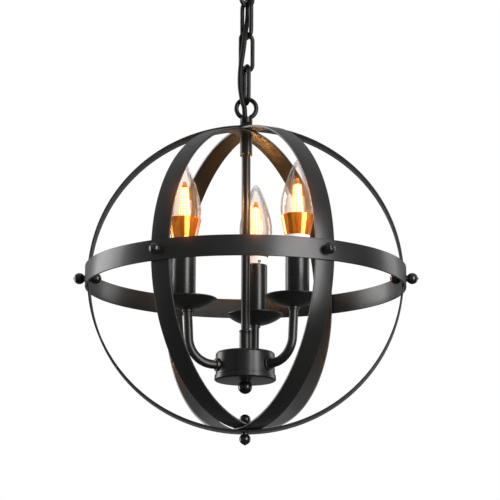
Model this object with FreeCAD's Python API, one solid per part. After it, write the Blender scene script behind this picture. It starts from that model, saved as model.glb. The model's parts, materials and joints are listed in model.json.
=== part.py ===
import FreeCAD
import Part
import math
import os

Vector = FreeCAD.Vector
up = Vector(0, 0, 1)
os.makedirs("parts", exist_ok=True)

# Driving dimensions, in millimetres and degrees. The origin is the ceiling plane on the hanging axis, +Z up.

# cage of steel strap: one band round the equator, three flattened rings through both poles
orb_outer_d = 340.0
cage_height = 330.4
strap_w = 21.4
strap_t = 2.3
strap_edge_r = 0.35
strap_gap = 0.05
flat_limit = 1e-4                      # widths closer than this make a round ring
ring_angles = [0.0, 120.0, 60.0]       # azimuths of the vertical rings, from the outermost inwards

# ball screws and cap nuts that hold the bands together
ball_d = 12.0
ball_neck_d = 6.8
ball_seat_back = 0.08                  # a flat neck on a hollow-curved face stands off this much
ball_rise = 6.2                        # seat to ball centre
ball_tip_d = 4.4
ball_tip_l = 1.2
ball_tip_end_d = 1.2
ball_tip_sink = 0.5
screw_d = 4.0
screw_hole_d = 4.4
nut_thread_l = 7.0
screw_spare = 1.0                      # thread left past the screw's end

# pipe thread of the nipples, locknuts and loops
pipe_d = 9.6
pipe_bore = 6.8
pipe_clear = 0.1                       # on the diameter, in every threaded or drilled hole
locknut_af = 14.0
locknut_h = 3.4
locknut_corner_d = 15.7                # over the chamfered corners
seat_gap = 0.05

# hanging loops
loop_ring_d = 21.2                     # on the wire centre
loop_wire_d = 4.8
loop_rise = 20.75                      # flange seat to ring centre
loop_flange_d = 16.4
loop_flange_h = 1.6
loop_flange_edge = 0.6
loop_neck_d = 13.2
loop_waist_d = 12.2
loop_flare_h = 2.4
loop_bead_h = 0.8
loop_shoulder_h = 1.4
loop_crown_r = 4.4
loop_thread_depth = 6.0
cord_hole_d = 6.8

# ceiling fitting
canopy_d = 120.0
canopy_h = 26.0
canopy_t = 1.2
canopy_flat_d = 84.0
barrel_d = 16.0
canopy_clear = 0.2                     # radial, round the barrel
barrel_up = 12.0                       # barrel above the canopy's underside
barrel_below = 1.0                     # barrel below the collar nut
barrel_thread_l = 11.0
nipple_spare = 1.0                     # thread left under the nipple
nipple_proud = 0.5                     # nipple above its locknut
collar_nut_d = 27.0
collar_nut_h = 6.0
collar_nut_edge_r = 0.8
collar_grip_count = 24
collar_grip_d = 1.4
bar_l = 106.0
bar_w = 20.0
bar_t = 2.0
bar_drop = 7.0
bar_flat_l = 40.0                      # lowered middle of the crossbar
bar_bend_l = 6.0
slot_spacing = 88.9
slot_w = 4.5
slot_l = 14.0
ground_x = 13.5
ground_head_d = 7.0
ground_head_h = 2.4
ground_shank_d = 4.0
ground_proud = 1.5                     # shank above the bar
ground_slot_w = 0.9
ground_slot_h = 0.8

# chain
link_l = 46.0
link_w = 20.0
link_wire_d = 4.6
link_gap = 0.3
link_angles = [38.0, -50.0, 36.0, -71.0]   # azimuth of each link's plane, from the top
canopy_loop_angle = -50.0
fixture_loop_angle = 0.0

# stem
collar_d = 13.0
collar_l = 25.0
collar_gap = 0.25                      # under the innermost ring
turned_edge = 0.5                      # chamfer of turned parts
stem_d = 9.4
stem_bore = 7.4
stem_foot_z = -62.0                    # heights from here on are above the orb's centre
coupler_top_z = -55.6
coupler_d = 13.0
stem_thread_l = 12.0
end_gap = 0.3                          # between two ends inside one sleeve
nipple_below = 1.5                     # nipple under its locknut

# hub
hub_top_z = -79.5
hub_foot_z = -108.4
hub_d = 62.4
hub_t = 1.5
hub_edge_r = 3.0
cover_top_z = -103.8
cover_foot_z = -110.0
cover_proud = 1.4                      # radial, past the hub
cover_lip_proud = 1.0
cover_t = 1.4
cover_edge = 1.0
cover_lip_edge = 0.5
finial_ball_d = 15.0
finial_ball_z = -116.1
finial_neck_d = 12.4
finial_neck_step = 1.2
finial_neck_sink = 4.0                 # neck's foot above the ball's centre
finial_stud_l = 6.5                    # above the cover's floor

# wire connectors standing in the hub, one for each conductor
wire_nut_d = 12.0
wire_nut_head_d = 7.5
wire_nut_h = 18.0
wire_nut_reach = 17.0

# arms
arm_angle = 82.3                        # azimuth of the first arm
arm_count = 3
arm_d = 9.5
arm_bore = 7.0
arm_z = -94.4
arm_bend_r = 27.0
riser_lean = 3.0                       # outward from vertical
pan_reach = 65.0                       # hanging axis to riser, at the pan's seat
arm_inner_reach = 23.0
riser_top_z = -31.0
ferrule_d = 14.0
ferrule_l = 2.3
ferrule_edge_r = 0.7
lead_in_hub = 4.0                      # lead past the arm's inner end
lead_gap = 0.3                         # under the socket's tab

# drip pans, sockets and sleeves
pan_d = 62.0
pan_rim_z = -26.7
pan_cap_depth = 12.0                   # of the whole spherical bowl
pan_floor_d = 16.0
pan_t = 1.0
pan_hole_d = 10.6
pan_nut_d = 12.0
pan_nut_h = 3.0
pan_nut_edge = 0.4
riser_clear = 0.25                     # radial, round the leaning riser
candle_reach = 69.5                    # hanging axis to candle axis
sleeve_d = 25.0
sleeve_t = 1.0
sleeve_top_z = 28.3
bracket_ring_d = 13.0
bracket_ring_h = 5.0
bracket_t = 1.5
bracket_w = 6.0
bracket_tab_d = 14.0
socket_foot_z = -18.0
socket_d = 19.0
socket_sink = 2.0                      # socket top below the sleeve's top
socket_shell_t = 0.45
socket_shell_sink = 1.0                # shell's rim below the socket's top
socket_edge_r = 0.8
lead_d = 5.6

# candle bulbs
bulb_gap = 0.3                         # running gap of the bulb, all round
base_d = 11.9
base_l = 17.0
base_crests = 6
base_crest_h = 0.5
base_plain_l = 1.5                     # without thread, at either end
base_step = 1.2                        # radial, at the lower end
contact_d = 6.0
contact_l = 1.5
collar_foot_d = 24.6
collar_head_d = 26.8
collar_head_z = 36.6
collar_edge = 0.6
sink_foot_d = 27.0
sink_head_d = 35.4
sink_head_z = 58.8
sink_t = 1.2
sink_lip_h = 1.0
sink_lip_step = 0.3                    # radial, drawn in at the lip
glass_t = 0.8
glass_foot_d = 34.4
flame_belly_d = 35.4                   # width of the flame at five heights above the heat sink
flame_belly_h = 9.0
flame_side_d = 33.4
flame_side_h = 19.2
flame_shoulder_d = 28.4
flame_shoulder_h = 29.2
flame_neck_d = 21.8
flame_neck_h = 39.7
flame_point_d = 13.6
flame_point_h = 50.2
flame_tip_h = 59.9
flame_foot_tangent = (0.04, 0.0, 1.0)
flame_tip_tangent = (-1.0, 0.0, 0.9)
glass_tip_t = 1.6                      # thicker where it was drawn off
led_foot_d = 12.8
led_head_d = 8.2
led_h = 33.2
led_cap_d = 7.4
led_cap_h = 7.0
led_cap_edge_r = 1.2

# supply cord: points on its way from the ceiling to the loop, (x, y, z)
cord_d = 5.4
cord_route = [
    (0.0, 0.0, -48.55), (-0.6, -8.9, -61.15), (-0.1, -8.1, -79.25), (1.0, 9.5, -96.15),
    (0.7, 8.5, -117.15), (-1.1, -9.5, -131.55), (-3.3, -9.4, -154.05), (-6.1, -10.0, -171.15),
    (-7.0, -9.0, -191.65), (-4.4, -7.0, -208.75), (0.0, 0.0, -221.65),
]
bend_share = 0.45                      # of the shorter run, taken by the arc at each point
cord_tail = 9.0                        # inside the hub


def turned(shape, degrees):
    copy = shape.copy()
    copy.rotate(Vector(0, 0, 0), up, degrees)
    return copy


def lifted(shape, height):
    copy = shape.copy()
    copy.translate(Vector(0, 0, height))
    return copy


def rod(d, low, high, x=0.0, y=0.0):
    return Part.makeCylinder(d / 2, high - low, Vector(x, y, low), up)


def pipe(outer, inner, low, high, x=0.0, y=0.0):
    return rod(outer, low, high, x, y).cut(rod(inner, low - 1, high + 1, x, y))


def cross_rod(d, start, end, z=0.0):
    # a bar along +X, from one distance to another
    return Part.makeCylinder(d / 2, end - start, Vector(start, 0, z), Vector(1, 0, 0))


def rims(solid, height=None):
    # the circular edges of an upright round solid: all of them, or those at one height
    found = [edge for edge in solid.Edges if not isinstance(edge.Curve, Part.Line)]
    if height is not None:
        found = [edge for edge in found if abs(edge.CenterOfMass.z - height) < 0.05]
    return found


def spin(edges):
    # a closed outline in the XZ plane, turned once round Z
    return Part.Face(Part.Wire(edges)).revolve(Vector(0, 0, 0), up, 360)


def outline(points):
    # straight edges through (radius, height) points, closed
    corners = [Vector(r, 0, z) for r, z in points]
    corners.append(corners[0])
    return [Part.makeLine(a, b) for a, b in zip(corners, corners[1:]) if (a - b).Length > 1e-6]


def hexagon_nut():
    corner = locknut_af / math.sqrt(3)
    points = [Vector(corner * math.cos(math.radians(60 * k)), corner * math.sin(math.radians(60 * k)), 0)
              for k in range(7)]
    body = Part.Face(Part.makePolygon(points)).extrude(Vector(0, 0, locknut_h))
    round_limit = rod(2 * nut_corner_r, 0, locknut_h)
    round_limit = round_limit.makeChamfer(turned_edge, rims(round_limit))
    return body.common(round_limit).cut(rod(pipe_hole, -1, locknut_h + 1))


def laid(shape, z):
    # from upright to lying along +X
    copy = shape.copy()
    copy.rotate(Vector(0, 0, 0), Vector(0, 1, 0), 90)
    copy.translate(Vector(0, 0, z))
    return copy


def group(shapes):
    return Part.makeCompound(shapes)


def save(shape, name):
    shape.exportStep("parts/" + name + ".step")
    return shape


# places worked out from the sizes

canopy_floor_z = -canopy_h
barrel_foot_z = canopy_floor_z - collar_nut_h - barrel_below
barrel_top_z = canopy_floor_z + barrel_up
nipple_top_z = nipple_proud + locknut_h - bar_drop
canopy_ring_z = barrel_foot_z - loop_rise
link_hang = (link_wire_d + loop_wire_d) / 2 + link_gap      # wire centre to wire centre, link in a loop
link_nest = link_wire_d + link_gap                          # the same, link in a link
link_half = (link_l - link_wire_d) / 2
pitch = 2 * link_half - link_nest
first_link_z = canopy_ring_z - loop_ring_d / 2 + link_hang - link_half
link_zs = [first_link_z - k * pitch for k in range(len(link_angles))]
fixture_ring_z = link_zs[-1] - link_half + link_hang - loop_ring_d / 2
pole_h = cage_height / 2
orb_z = fixture_ring_z - loop_rise - seat_gap - pole_h

band_inner_r = orb_outer_d / 2 - strap_t
ring_reach = math.sqrt(band_inner_r ** 2 - (strap_w / 2) ** 2) - strap_gap
nest_step = strap_t + strap_w ** 2 / (4 * orb_outer_d) + strap_gap
stack_depth = strap_t + (len(ring_angles) - 1) * nest_step
pipe_hole = pipe_d + pipe_clear
nut_corner_r = locknut_corner_d / 2


# cage

def rounded_bar_section(width, thickness, edge_r, inner_r):
    # outline of a strap seen end on: radius across, height along Z
    low, high = -width / 2, width / 2
    near, far = inner_r, inner_r + thickness
    k = edge_r * (1 - math.sqrt(0.5))
    line = Part.makeLine

    def corner(a, b, c):
        return Part.Arc(Vector(*a), Vector(*b), Vector(*c)).toShape()

    return [
        line(Vector(near + edge_r, 0, low), Vector(far - edge_r, 0, low)),
        corner((far - edge_r, 0, low), (far - k, 0, low + k), (far, 0, low + edge_r)),
        line(Vector(far, 0, low + edge_r), Vector(far, 0, high - edge_r)),
        corner((far, 0, high - edge_r), (far - k, 0, high - k), (far - edge_r, 0, high)),
        line(Vector(far - edge_r, 0, high), Vector(near + edge_r, 0, high)),
        corner((near + edge_r, 0, high), (near + k, 0, high - k), (near, 0, high - edge_r)),
        line(Vector(near, 0, high - edge_r), Vector(near, 0, low + edge_r)),
        corner((near, 0, low + edge_r), (near + k, 0, low + k), (near + edge_r, 0, low)),
    ]


def equator_ring():
    band = spin(rounded_bar_section(strap_w, strap_t, strap_edge_r, band_inner_r))
    for k in range(2 * len(ring_angles)):
        hole = cross_rod(screw_hole_d, band_inner_r - strap_t, band_inner_r + 2 * strap_t)
        band = band.cut(turned(hole, k * 180.0 / len(ring_angles)))
    return lifted(band, orb_z)


def vertical_ring(level):
    half_h = pole_h - level * nest_step
    side = Vector(0, strap_w / 2, 0)

    def oval(a, b):
        # half width a and half height b, either of which may be the larger
        centre = Vector(0, 0, 0)
        if abs(a - b) < flat_limit:
            return Part.Wire([Part.makeCircle(a, centre, Vector(0, -1, 0))])
        ends = sorted([Vector(a, 0, 0), Vector(0, 0, b)], key=lambda point: -point.Length)
        return Part.Wire([Part.Ellipse(ends[0], ends[1], centre).toShape()])

    face = Part.Face([oval(ring_reach, half_h), oval(ring_reach - strap_t, half_h - strap_t)])
    face.validate()
    face.translate(-side)
    ring = face.extrude(2 * side)
    ring = ring.makeFillet(strap_edge_r, ring.Edges)
    ring = ring.cut(cross_rod(screw_hole_d, -ring_reach - strap_t, ring_reach + strap_t))
    ring = ring.cut(rod(screw_hole_d, -half_h - strap_t, -half_h + 2 * strap_t))
    ring = ring.cut(rod(pipe_hole, half_h - 2 * strap_t, half_h + strap_t))
    return lifted(turned(ring, ring_angles[level]), orb_z)


def ball_with_neck():
    # a ball on a short neck, seat at z = 0, ball above it
    ball = Part.makeSphere(ball_d / 2, Vector(0, 0, ball_rise))
    return ball.fuse(rod(ball_neck_d, 0, ball_rise)).cut(rod(2 * ball_d, -ball_d, 0))


def ball_screw(grip):
    # seat at z = 0, shank below it through the straps and into the nut
    top = ball_rise + ball_d / 2 - ball_tip_sink
    tip = Part.makeCone(ball_tip_d / 2, ball_tip_end_d / 2, ball_tip_l, Vector(0, 0, top), up)
    shank = rod(screw_d, screw_spare - grip - nut_thread_l, 1)
    return ball_with_neck().fuse(tip).fuse(shank).removeSplitter()


def ball_nut():
    # seat at z = 0, ball above it, blind bore from below
    return ball_with_neck().cut(rod(screw_d + 2 * strap_gap, -1, nut_thread_l))


def ball_fasteners():
    equator_grip = orb_outer_d / 2 - (ring_reach - strap_t)
    screws, nuts = [], []
    for k in range(2 * len(ring_angles)):
        azimuth = k * 180.0 / len(ring_angles)
        screw = laid(ball_screw(equator_grip), 0)
        screw.translate(Vector(orb_outer_d / 2, 0, 0))
        nut = laid(ball_nut(), 0)
        nut.rotate(Vector(0, 0, 0), up, 180)
        nut.translate(Vector(ring_reach - strap_t - ball_seat_back, 0, 0))
        screws.append(lifted(turned(screw, azimuth), orb_z))
        nuts.append(lifted(turned(nut, azimuth), orb_z))
    foot_screw = ball_screw(stack_depth)
    foot_screw.rotate(Vector(0, 0, 0), Vector(1, 0, 0), 180)
    screws.append(lifted(foot_screw, orb_z - pole_h))
    nuts.append(lifted(ball_nut(), orb_z - pole_h + stack_depth + ball_seat_back))
    return group(screws), group(nuts)


# loops, chain and cord

def loop_casting():
    # ring above a flared neck, flange seat at z = 0, bored for the cord and threaded from below
    ring = Part.makeTorus(loop_ring_d / 2, loop_wire_d / 2, Vector(0, 0, loop_rise), Vector(0, 1, 0))
    top = loop_rise - loop_ring_d / 2 + loop_wire_d / 5
    flange_r, edge = loop_flange_d / 2, loop_flange_edge
    waist_z = loop_flange_h + loop_flare_h
    neck = spin(outline([
        (0, 0), (flange_r, 0), (flange_r, loop_flange_h - edge), (flange_r - edge, loop_flange_h),
        (loop_waist_d / 2, waist_z), (loop_neck_d / 2, waist_z + loop_bead_h),
        (loop_neck_d / 2, top - loop_shoulder_h), (loop_crown_r, top), (0, top)]))
    loop = ring.fuse(neck).removeSplitter()
    loop = loop.cut(rod(cord_hole_d, -1, loop_rise - loop_wire_d))
    return loop.cut(rod(pipe_hole, -1, loop_thread_depth))


def fixture_loop():
    return lifted(turned(loop_casting(), fixture_loop_angle), orb_z + pole_h + seat_gap)


def canopy_loop():
    # the same casting hung upside down under a threaded barrel
    casting = loop_casting()
    casting.rotate(Vector(0, 0, 0), Vector(1, 0, 0), 180)
    casting = lifted(turned(casting, canopy_loop_angle), barrel_foot_z)
    loop = casting.fuse(rod(barrel_d, barrel_foot_z, barrel_top_z)).removeSplitter()
    loop = loop.cut(rod(cord_hole_d, barrel_foot_z - 1, barrel_top_z + 1))
    return loop.cut(rod(pipe_hole, barrel_top_z - barrel_thread_l, barrel_top_z + 1))


def chain_link(turn, z):
    bend_r = (link_w - link_wire_d) / 2
    leg = link_half - bend_r
    wire_r = link_wire_d / 2
    forward = Vector(0, 1, 0)
    top = Part.makeTorus(bend_r, wire_r, Vector(0, 0, leg), forward)
    foot = Part.makeTorus(bend_r, wire_r, Vector(0, 0, -leg), forward)
    keep = Part.makeBox(2 * link_w, link_w, link_w, Vector(-link_w, -link_w / 2, leg))
    keep_foot = Part.makeBox(2 * link_w, link_w, link_w, Vector(-link_w, -link_w / 2, -leg - link_w))
    link = top.common(keep).fuse(foot.common(keep_foot))
    for side in (-1, 1):
        link = link.fuse(rod(link_wire_d, -leg, leg, side * bend_r))
    return lifted(turned(link.removeSplitter(), turn), z)


def rounded_path(points):
    # straight runs joined by tangent arcs, each as large as its two runs allow
    edges, radii = [], []
    start = points[0]
    for before, corner, after in zip(points, points[1:], points[2:]):
        run_in, run_out = corner - before, after - corner
        half_turn = run_in.getAngle(run_out) / 2
        tangent = bend_share * min(run_in.Length, run_out.Length)
        radius = tangent / math.tan(half_turn)
        radii.append(radius)
        arc_in = corner - Vector(run_in).normalize() * tangent
        arc_out = corner + Vector(run_out).normalize() * tangent
        inward = (Vector(run_out).normalize() - Vector(run_in).normalize()).normalize()
        middle = corner + inward * (radius / math.cos(half_turn) - radius)
        edges.append(Part.makeLine(start, arc_in))
        edges.append(Part.Arc(arc_in, middle, arc_out).toShape())
        start = arc_out
    edges.append(Part.makeLine(start, points[-1]))
    return edges, radii


def tube_along(edges, d):
    wire = Part.Wire(edges)
    start = edges[0].valueAt(edges[0].FirstParameter)
    direction = edges[0].tangentAt(edges[0].FirstParameter)
    ring = Part.Wire([Part.makeCircle(d / 2, start, direction)])
    tube = wire.makePipeShell([ring], True, False)
    ideal = math.pi * d * d / 4 * wire.Length
    if abs(tube.Volume / ideal - 1) > 0.02:
        print("tube volume is off by", tube.Volume / ideal - 1)
    return tube


def cut_edges(edges, height, keep_above):
    # the part of the path above or below a height, which it crosses once
    kept = []
    for edge in edges:
        low, high = sorted((edge.Vertexes[0].Z, edge.Vertexes[-1].Z))
        if low >= height - 1e-6 or high <= height + 1e-6:
            if (low >= height - 1e-6) == keep_above:
                kept.append(edge)
            continue
        first, last = edge.FirstParameter, edge.LastParameter
        near, far = first, last
        falling = edge.valueAt(first).z > edge.valueAt(last).z
        for _ in range(60):
            middle = (near + far) / 2
            if (edge.valueAt(middle).z > height) == falling:
                near = middle
            else:
                far = middle
        if keep_above == falling:
            kept.append(edge.Curve.toShape(first, near))
        else:
            kept.append(edge.Curve.toShape(near, last))
    return kept


def cord_pieces():
    # one cord, cut square across at the middle of each link, so that each piece crosses one joint
    points = [Vector(*point) for point in cord_route]
    points.insert(0, Vector(0, 0, nipple_top_z))
    points.append(Vector(0, 0, orb_z + hub_top_z - cord_tail))
    edges, radii = rounded_path(points)
    print("cord length", round(sum(edge.Length for edge in edges), 1))
    print("cord radii", [round(radius, 1) for radius in radii])
    pieces = []
    for z in link_zs:
        pieces.append(tube_along(cut_edges(edges, z, True), cord_d))
        edges = cut_edges(edges, z, False)
    pieces.append(tube_along(edges, cord_d))
    return pieces


# ceiling fitting

def ceiling_canopy():
    rim_r, flat_r = canopy_d / 2, canopy_flat_d / 2
    drop = rim_r - flat_r
    line = Part.makeLine
    bulge = math.sqrt(0.5)
    low, shoulder = canopy_floor_z, canopy_floor_z + drop
    inner_drop = drop - canopy_t

    def quarter(r_flat, z_shoulder, reach):
        return Part.Arc(Vector(r_flat + reach, 0, z_shoulder),
                        Vector(r_flat + reach * bulge, 0, z_shoulder - reach * bulge),
                        Vector(r_flat, 0, z_shoulder - reach)).toShape()

    hole_r = barrel_d / 2 + canopy_clear
    inner_low = low + canopy_t
    return spin([
        line(Vector(rim_r, 0, 0), Vector(rim_r, 0, shoulder)),
        quarter(flat_r, shoulder, drop),
        line(Vector(flat_r, 0, low), Vector(hole_r, 0, low)),
        line(Vector(hole_r, 0, low), Vector(hole_r, 0, inner_low)),
        line(Vector(hole_r, 0, inner_low), Vector(flat_r, 0, inner_low)),
        quarter(flat_r, shoulder, inner_drop).reversed(),
        line(Vector(rim_r - canopy_t, 0, shoulder), Vector(rim_r - canopy_t, 0, 0)),
        line(Vector(rim_r - canopy_t, 0, 0), Vector(rim_r, 0, 0)),
    ])


def collar_nut():
    nut = rod(collar_nut_d, canopy_floor_z - collar_nut_h, canopy_floor_z - seat_gap)
    nut = nut.makeFillet(collar_nut_edge_r, rims(nut))
    for k in range(collar_grip_count):
        groove = rod(collar_grip_d, canopy_floor_z - collar_nut_h - 1, canopy_floor_z + 1, collar_nut_d / 2)
        nut = nut.cut(turned(groove, k * 360.0 / collar_grip_count))
    return nut.cut(rod(barrel_d + pipe_clear, canopy_floor_z - collar_nut_h - 1, canopy_floor_z + 1))


def mounting_bar():
    half, flat, bent = bar_l / 2, bar_flat_l / 2, bar_flat_l / 2 + bar_bend_l
    top = [(-half, 0), (-bent, 0), (-flat, -bar_drop), (flat, -bar_drop), (bent, 0), (half, 0)]
    foot = [(x, z - bar_t) for x, z in reversed(top)]
    edges = outline(top + foot)
    bar = Part.Face(Part.Wire(edges))
    bar.translate(Vector(0, -bar_w / 2, 0))
    bar = bar.extrude(Vector(0, bar_w, 0))
    for side in (-1, 1):
        for end in (-1, 1):
            x = side * slot_spacing / 2 + end * (slot_l - slot_w) / 2
            bar = bar.cut(rod(slot_w, -bar_t - 1, 1, x))
        width = slot_l - slot_w
        corner = Vector(side * slot_spacing / 2 - width / 2, -slot_w / 2, -bar_t - 1)
        bar = bar.cut(Part.makeBox(width, slot_w, bar_t + 2, corner))
    bar = bar.cut(rod(pipe_hole, -bar_drop - bar_t - 1, 1))
    return bar.cut(rod(ground_shank_d + 2 * strap_gap, -bar_drop - bar_t - 1, 1, ground_x))


def ceiling_nipple():
    return pipe(pipe_d, pipe_bore, barrel_top_z - barrel_thread_l + nipple_spare, nipple_top_z)


def bar_locknuts():
    nut = hexagon_nut()
    return group([lifted(nut, -bar_drop), lifted(nut, -bar_drop - bar_t - locknut_h)])


def ground_screw():
    seat = -bar_drop - bar_t
    head = rod(ground_head_d, seat - ground_head_h, seat, ground_x)
    head = head.makeFillet(ground_head_h / 4, rims(head, seat - ground_head_h))
    screw = head.fuse(rod(ground_shank_d, seat - ground_head_h / 2, ground_proud - bar_drop, ground_x))
    corner = Vector(ground_x - ground_head_d, -ground_slot_w / 2, seat - ground_head_h - 1)
    slot = Part.makeBox(2 * ground_head_d, ground_slot_w, ground_slot_h + 1, corner)
    return screw.removeSplitter().cut(slot)


# stem

collar_top_z = orb_z + pole_h - stack_depth - collar_gap
collar_foot_z = collar_top_z - collar_l
joint_z = collar_foot_z + stem_thread_l                     # the stem's end and the nipple's end meet here


def stem_collar():
    sleeve = rod(collar_d, collar_foot_z, collar_top_z)
    sleeve = sleeve.makeChamfer(turned_edge, rims(sleeve))
    return sleeve.cut(rod(pipe_hole, collar_foot_z - 1, collar_top_z + 1))


def stem_tube():
    return pipe(stem_d, stem_bore, orb_z + stem_foot_z, joint_z - end_gap)


def stem_coupler():
    low, high = orb_z + hub_top_z, orb_z + coupler_top_z
    coupler = rod(coupler_d, low, high)
    coupler = coupler.makeChamfer(turned_edge, rims(coupler))
    return coupler.cut(rod(pipe_hole, low - 1, high + 1))


def threaded_nipples():
    upper = pipe(pipe_d, pipe_bore, joint_z + end_gap, orb_z + pole_h + loop_thread_depth - end_gap)
    low = orb_z + hub_top_z - hub_t - locknut_h - nipple_below
    lower = pipe(pipe_d, pipe_bore, low, orb_z + stem_foot_z - end_gap)
    return group([upper, lower])


# hub

hub_inner_r = hub_d / 2 - hub_t
# the arm locknuts' corners touch the curved wall
nut_back = math.sqrt(hub_inner_r ** 2 - nut_corner_r ** 2) - seat_gap


def hub_body():
    top, foot = orb_z + hub_top_z, orb_z + hub_foot_z
    shell = rod(hub_d, foot, top)
    shell = shell.makeFillet(hub_edge_r, rims(shell, top))
    shell = shell.cut(rod(hub_d - 2 * hub_t, foot - 1, top - hub_t))
    shell = shell.cut(rod(pipe_hole, top - hub_t - 1, top + 1))
    for k in range(arm_count):
        hole = cross_rod(arm_d + pipe_clear, 1, hub_d, orb_z + arm_z)
        shell = shell.cut(turned(hole, arm_angle + k * 360.0 / arm_count))
    return shell


def hub_cover():
    foot, lip = orb_z + cover_foot_z, orb_z + cover_top_z
    inner_r = hub_d / 2 + seat_gap
    cover_r, lip_r = hub_d / 2 + cover_proud, hub_d / 2 + cover_lip_proud
    floor = foot + cover_t
    return spin(outline([
        (pipe_hole / 2, foot), (cover_r - cover_edge, foot), (cover_r, foot + cover_edge),
        (lip_r, lip - cover_lip_edge), (lip_r - cover_lip_edge, lip), (inner_r, lip),
        (inner_r, floor), (pipe_hole / 2, floor)]))


def hub_finial():
    seat = orb_z + cover_foot_z
    ball_z = orb_z + finial_ball_z
    ball = Part.makeSphere(finial_ball_d / 2, Vector(0, 0, ball_z))
    neck_foot = ball_z + finial_neck_sink
    neck = Part.makeCone(finial_neck_d / 2 - finial_neck_step, finial_neck_d / 2, seat - neck_foot,
                         Vector(0, 0, neck_foot), up)
    knob = ball.fuse(neck).cut(rod(2 * finial_ball_d, seat, seat + finial_ball_d))
    return knob.fuse(rod(pipe_d, seat - 1, seat + cover_t + finial_stud_l)).removeSplitter()


def hex_locknuts():
    nut = hexagon_nut()
    nuts = [lifted(nut, orb_z + hub_top_z - hub_t - locknut_h), lifted(nut, orb_z + cover_foot_z + cover_t)]
    for k in range(arm_count):
        lying = laid(nut, orb_z + arm_z)
        lying.translate(Vector(nut_back - locknut_h, 0, 0))
        nuts.append(turned(lying, arm_angle + k * 360.0 / arm_count))
    return group(nuts)


def hub_wire_nuts():
    floor = orb_z + cover_foot_z + cover_t
    nut = Part.makeCone(wire_nut_d / 2, wire_nut_head_d / 2, wire_nut_h, Vector(wire_nut_reach, 0, floor), up)
    nut = nut.makeFillet(turned_edge, rims(nut))
    half_step = 180.0 / arm_count
    return group([turned(nut, arm_angle + (2 * k + 1) * half_step) for k in range(arm_count)])


# arms, each drawn along +X and turned to its place

lean = math.radians(riser_lean)
bend_end_z = arm_z + arm_bend_r * (1 - math.sin(lean))
pan_bowl_r = ((pan_d / 2) ** 2 + pan_cap_depth ** 2) / (2 * pan_cap_depth)
pan_centre_z = pan_rim_z - pan_cap_depth + pan_bowl_r
pan_seat_z = pan_centre_z - math.sqrt(pan_bowl_r ** 2 - (pan_floor_d / 2) ** 2)
bend_end_x = pan_reach - (pan_seat_z - bend_end_z) * math.tan(lean)
bend_start_x = bend_end_x - arm_bend_r * math.cos(lean)


def riser_x(z):
    return pan_reach + (z - pan_seat_z) * math.tan(lean)


def arm_axis(start_x, end_z):
    half = math.radians(90 - riser_lean) / 2
    centre = Vector(bend_start_x, 0, arm_z + arm_bend_r)
    middle = centre + Vector(math.sin(half), 0, -math.cos(half)) * arm_bend_r
    start = Vector(bend_start_x, 0, arm_z)
    end = Vector(bend_end_x, 0, bend_end_z)
    return [Part.makeLine(Vector(start_x, 0, arm_z), start), Part.Arc(start, middle, end).toShape(),
            Part.makeLine(end, Vector(riser_x(end_z), 0, end_z))]


def arm_tube():
    return tube_along(arm_axis(arm_inner_reach, riser_top_z), arm_d).cut(
        tube_along(arm_axis(arm_inner_reach - 1, riser_top_z + 1), arm_bore))


def arm_lead():
    return tube_along(arm_axis(arm_inner_reach - lead_in_hub, socket_foot_z - bracket_t - lead_gap), lead_d)


def arm_ferrule():
    end = hub_d / 2 + ferrule_l
    ring = cross_rod(ferrule_d, hub_d / 2 - ferrule_l, end, arm_z)
    ring = ring.makeFillet(ferrule_edge_r, [edge for edge in ring.Edges if edge.CenterOfMass.x > end - 0.1])
    ring = ring.cut(cross_rod(arm_d + pipe_clear, 0, hub_d, arm_z))
    return ring.cut(rod(hub_d + 2 * seat_gap, arm_z - ferrule_d, arm_z + ferrule_d))


def drip_pan():
    rim_r, floor_r = pan_d / 2, pan_floor_d / 2
    inner_bowl_r = pan_bowl_r - pan_t
    floor_top = pan_seat_z + pan_t
    inner_floor_r = math.sqrt(inner_bowl_r ** 2 - (pan_centre_z - floor_top) ** 2)

    def on_bowl(radius, r):
        return Vector(r, 0, pan_centre_z - math.sqrt(radius ** 2 - r ** 2))

    inner_rim_r = rim_r * inner_bowl_r / pan_bowl_r
    hole_r = pan_hole_d / 2
    line = Part.makeLine
    bowl = spin([
        line(Vector(hole_r, 0, pan_seat_z), on_bowl(pan_bowl_r, floor_r)),
        Part.Arc(on_bowl(pan_bowl_r, floor_r), on_bowl(pan_bowl_r, (floor_r + rim_r) / 2),
                 on_bowl(pan_bowl_r, rim_r)).toShape(),
        line(on_bowl(pan_bowl_r, rim_r), on_bowl(inner_bowl_r, inner_rim_r)),
        Part.Arc(on_bowl(inner_bowl_r, inner_rim_r), on_bowl(inner_bowl_r, (floor_r + rim_r) / 2),
                 on_bowl(inner_bowl_r, inner_floor_r)).toShape(),
        line(on_bowl(inner_bowl_r, inner_floor_r), Vector(hole_r, 0, floor_top)),
        line(Vector(hole_r, 0, floor_top), Vector(hole_r, 0, pan_seat_z)),
    ])
    bowl.translate(Vector(pan_reach, 0, 0))
    return bowl


def pan_nut():
    low = pan_seat_z - pan_nut_h
    nut = rod(pan_nut_d, low, pan_seat_z, pan_reach)
    nut = nut.makeChamfer(pan_nut_edge, rims(nut, low))
    return nut.cut(rod(arm_d + 2 * riser_clear, low - 1, pan_seat_z + 1, riser_x(low + pan_nut_h / 2)))


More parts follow.
